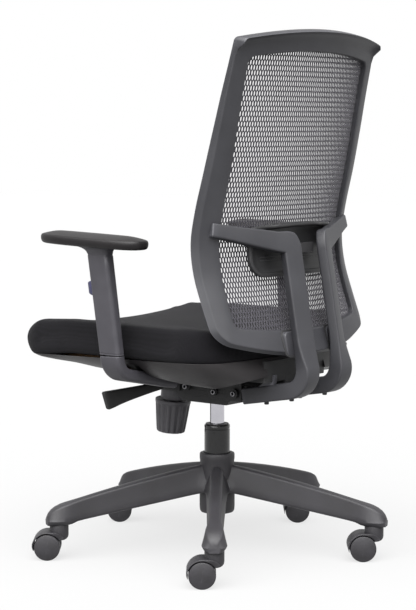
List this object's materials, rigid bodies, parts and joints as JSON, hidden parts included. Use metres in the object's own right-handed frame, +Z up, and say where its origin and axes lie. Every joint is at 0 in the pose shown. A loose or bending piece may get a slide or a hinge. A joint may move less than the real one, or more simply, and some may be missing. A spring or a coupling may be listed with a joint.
{
  "type": "swivel office chair",
  "caption": "Swivel task chair on a star base with twin-wheel castors, gas lift, synchronous tilt, height-adjustable arms, mesh back and sliding lumbar pad.",
  "frame": {"origin": "on the floor, under the axis of the gas lift", "axes": "+Z up, the chair faces -Y, the sitter's left is +X"},
  "size_m": [0.6629, 0.68, 1],
  "materials": {
    "base_nylon": "glass-filled nylon, fine spark-eroded texture, satin",
    "caster_nylon": "nylon, moulded, satin",
    "tube_paint": "black gloss paint",
    "bush_acetal": "black acetal, turned",
    "bright_steel": "zinc plated",
    "chrome": "polished chrome",
    "black_steel": "black powder coat",
    "knob_plastic": "polypropylene, moulded",
    "lever_plastic": "polypropylene, moulded",
    "plywood": "raw beech plywood",
    "seat_fabric": "black woven polyester",
    "cover_plastic": "polypropylene, fine grain",
    "arm_plastic": "nylon, fine grain",
    "pad_polyurethane": "integral-skin polyurethane, leather grain",
    "button_plastic": "ABS, moulded",
    "frame_plastic": "glass-filled nylon, fine grain",
    "mesh_fabric": "black open polyester mesh",
    "lumbar_plastic": "polypropylene, semi-gloss"
  },
  "bodies": {
    "base": {"star_base": "base_nylon", "lift_outer_tube": "tube_paint", "lift_guide_bush": "bush_acetal"},
    "lift_rod": {"lift_piston_rod": "bright_steel", "lift_thrust_bearing": "bright_steel", "lift_retaining_clip": "bright_steel"},
    "mechanism": {"lift_cylinder": "chrome", "mechanism_housing": "black_steel", "pivot_shafts": "bright_steel", "tilt_spring": "bright_steel", "tension_screw": "bright_steel", "tension_cup": "knob_plastic"},
    "tension_knob": {"tension_knob": "knob_plastic"},
    "lock_lever": {"lock_lever": "lever_plastic"},
    "height_lever": {"height_lever": "lever_plastic"},
    "release_pin": {"lift_release_pin": "bright_steel"},
    "seat": {"seat_carrier": "black_steel", "seat_board": "plywood", "seat_cushion": "seat_fabric", "seat_cover": "cover_plastic", "seat_bolts": "bright_steel", "arm_bracket_left": "arm_plastic", "arm_bracket_right": "arm_plastic"},
    "arm_left": {"arm_sleeve_left": "arm_plastic", "arm_pad_left": "pad_polyurethane"},
    "arm_button_left": {"arm_button_left": "button_plastic"},
    "arm_right": {"arm_sleeve_right": "arm_plastic", "arm_pad_right": "pad_polyurethane"},
    "arm_button_right": {"arm_button_right": "button_plastic"},
    "back": {"back_bracket": "black_steel", "link_pin": "bright_steel", "back_upright_left": "frame_plastic", "back_upright_right": "frame_plastic", "frame_mounts": "frame_plastic", "back_frame": "frame_plastic", "back_mesh": "mesh_fabric", "lumbar_guide": "lumbar_plastic", "back_bolts": "bright_steel"},
    "lumbar": {"lumbar_pad": "lumbar_plastic"},
    "caster_1": {"caster_hood_1": "caster_nylon", "caster_pins_1": "bright_steel"},
    "caster_1_wheel_left": {"caster_wheel_1_left": "caster_nylon"},
    "caster_1_wheel_right": {"caster_wheel_1_right": "caster_nylon"},
    "caster_2": {"caster_hood_2": "caster_nylon", "caster_pins_2": "bright_steel"},
    "caster_2_wheel_left": {"caster_wheel_2_left": "caster_nylon"},
    "caster_2_wheel_right": {"caster_wheel_2_right": "caster_nylon"},
    "caster_3": {"caster_hood_3": "caster_nylon", "caster_pins_3": "bright_steel"},
    "caster_3_wheel_left": {"caster_wheel_3_left": "caster_nylon"},
    "caster_3_wheel_right": {"caster_wheel_3_right": "caster_nylon"},
    "caster_4": {"caster_hood_4": "caster_nylon", "caster_pins_4": "bright_steel"},
    "caster_4_wheel_left": {"caster_wheel_4_left": "caster_nylon"},
    "caster_4_wheel_right": {"caster_wheel_4_right": "caster_nylon"},
    "caster_5": {"caster_hood_5": "caster_nylon", "caster_pins_5": "bright_steel"},
    "caster_5_wheel_left": {"caster_wheel_5_left": "caster_nylon"},
    "caster_5_wheel_right": {"caster_wheel_5_right": "caster_nylon"}
  },
  "joints": [
    {"name": "chair_swivel", "type": "hinge", "parent": "base", "child": "lift_rod", "pos_m": [0, 0, 0.2], "axis": [0, 0, 1], "continuous": true},
    {"name": "seat_height", "type": "slide", "parent": "lift_rod", "child": "mechanism", "axis": [0, 0, 1], "range_m": [-0.035, 0.065]},
    {"name": "back_recline", "type": "hinge", "parent": "mechanism", "child": "back", "pos_m": [0, 0.037, 0.32], "axis": [-1, 0, 0], "range_deg": [0, 20], "stiffness_Nm_per_rad": 45, "springref_deg": -25.78},
    {"name": "seat_tilt", "type": "hinge", "parent": "mechanism", "child": "seat", "pos_m": [0, -0.064, 0.326], "axis": [-1, 0, 0], "range_deg": [0, 7.3]},
    {"name": "tension_turn", "type": "hinge", "parent": "mechanism", "child": "tension_knob", "pos_m": [0, -0.111, 0.285], "axis": [0, 0.1045, 0.9945], "range_deg": [-1080, 1080]},
    {"name": "lock_lever_turn", "type": "hinge", "parent": "mechanism", "child": "lock_lever", "pos_m": [0.05, -0.087, 0.321], "axis": [1, 0, 0], "range_deg": [-15, 15]},
    {"name": "height_lever_lift", "type": "hinge", "parent": "mechanism", "child": "height_lever", "pos_m": [-0.05, -0.087, 0.321], "axis": [0, 1, 0], "range_deg": [0, 5], "stiffness_Nm_per_rad": 1.5, "springref_deg": -11.46},
    {"name": "release_pin_press", "type": "slide", "parent": "mechanism", "child": "release_pin", "axis": [0, 0, -1], "range_m": [0, 0.005]},
    {"name": "arm_height_left", "type": "slide", "parent": "seat", "child": "arm_left", "axis": [0.0695, -0.0869, 0.9938], "range_m": [0, 0.07]},
    {"name": "arm_button_press_left", "type": "slide", "parent": "arm_left", "child": "arm_button_left", "axis": [0.0061, 0.9962, 0.0867], "range_m": [0, 0.004], "stiffness_N_per_m": 600, "springref_m": -0.002},
    {"name": "arm_height_right", "type": "slide", "parent": "seat", "child": "arm_right", "axis": [-0.0695, -0.0869, 0.9938], "range_m": [0, 0.07]},
    {"name": "arm_button_press_right", "type": "slide", "parent": "arm_right", "child": "arm_button_right", "axis": [-0.0061, 0.9962, 0.0867], "range_m": [0, 0.004], "stiffness_N_per_m": 600, "springref_m": -0.002},
    {"name": "lumbar_slide", "type": "slide", "parent": "back", "child": "lumbar", "axis": [0, 0, 1], "range_m": [-0.02, 0.02]},
    {"name": "caster_swivel_1", "type": "hinge", "parent": "base", "child": "caster_1", "pos_m": [0.2507, 0.19237, 0.08], "axis": [0, 0, 1], "continuous": true},
    {"name": "wheel_spin_1_left", "type": "hinge", "parent": "caster_1", "child": "caster_1_wheel_left", "pos_m": [0.26445, 0.1752, 0.025], "axis": [0.7804, 0.6252, 0], "continuous": true},
    {"name": "wheel_spin_1_right", "type": "hinge", "parent": "caster_1", "child": "caster_1_wheel_right", "pos_m": [0.26445, 0.1752, 0.025], "axis": [0.7804, 0.6252, 0], "continuous": true},
    {"name": "caster_swivel_2", "type": "hinge", "parent": "base", "child": "caster_2", "pos_m": [-0.10548, 0.29788, 0.08], "axis": [0, 0, 1], "continuous": true},
    {"name": "wheel_spin_2_left", "type": "hinge", "parent": "caster_2", "child": "caster_2_wheel_left", "pos_m": [-0.09173, 0.2807, 0.025], "axis": [0.7804, 0.6252, 0], "continuous": true},
    {"name": "wheel_spin_2_right", "type": "hinge", "parent": "caster_2", "child": "caster_2_wheel_right", "pos_m": [-0.09173, 0.2807, 0.025], "axis": [0.7804, 0.6252, 0], "continuous": true},
    {"name": "caster_swivel_3", "type": "hinge", "parent": "base", "child": "caster_3", "pos_m": [-0.31589, -0.00827, 0.08], "axis": [0, 0, 1], "continuous": true},
    {"name": "wheel_spin_3_left", "type": "hinge", "parent": "caster_3", "child": "caster_3_wheel_left", "pos_m": [-0.30214, -0.02544, 0.025], "axis": [0.7804, 0.6252, 0], "continuous": true},
    {"name": "wheel_spin_3_right", "type": "hinge", "parent": "caster_3", "child": "caster_3_wheel_right", "pos_m": [-0.30214, -0.02544, 0.025], "axis": [0.7804, 0.6252, 0], "continuous": true},
    {"name": "caster_swivel_4", "type": "hinge", "parent": "base", "child": "caster_4", "pos_m": [-0.08975, -0.30299, 0.08], "axis": [0, 0, 1], "continuous": true},
    {"name": "wheel_spin_4_left", "type": "hinge", "parent": "caster_4", "child": "caster_4_wheel_left", "pos_m": [-0.07599, -0.32016, 0.025], "axis": [0.7804, 0.6252, 0], "continuous": true},
    {"name": "wheel_spin_4_right", "type": "hinge", "parent": "caster_4", "child": "caster_4_wheel_right", "pos_m": [-0.07599, -0.32016, 0.025], "axis": [0.7804, 0.6252, 0], "continuous": true},
    {"name": "caster_swivel_5", "type": "hinge", "parent": "base", "child": "caster_5", "pos_m": [0.26042, -0.17898, 0.08], "axis": [0, 0, 1], "continuous": true},
    {"name": "wheel_spin_5_left", "type": "hinge", "parent": "caster_5", "child": "caster_5_wheel_left", "pos_m": [0.27418, -0.19615, 0.025], "axis": [0.7804, 0.6252, 0], "continuous": true},
    {"name": "wheel_spin_5_right", "type": "hinge", "parent": "caster_5", "child": "caster_5_wheel_right", "pos_m": [0.27418, -0.19615, 0.025], "axis": [0.7804, 0.6252, 0], "continuous": true}
  ],
  "couplings": [
    {"joint": "seat_tilt", "follows": "back_recline", "ratio": 0.355},
    {"joint": "release_pin_press", "follows": "height_lever_lift", "m_per_rad": 0.0515}
  ]
}
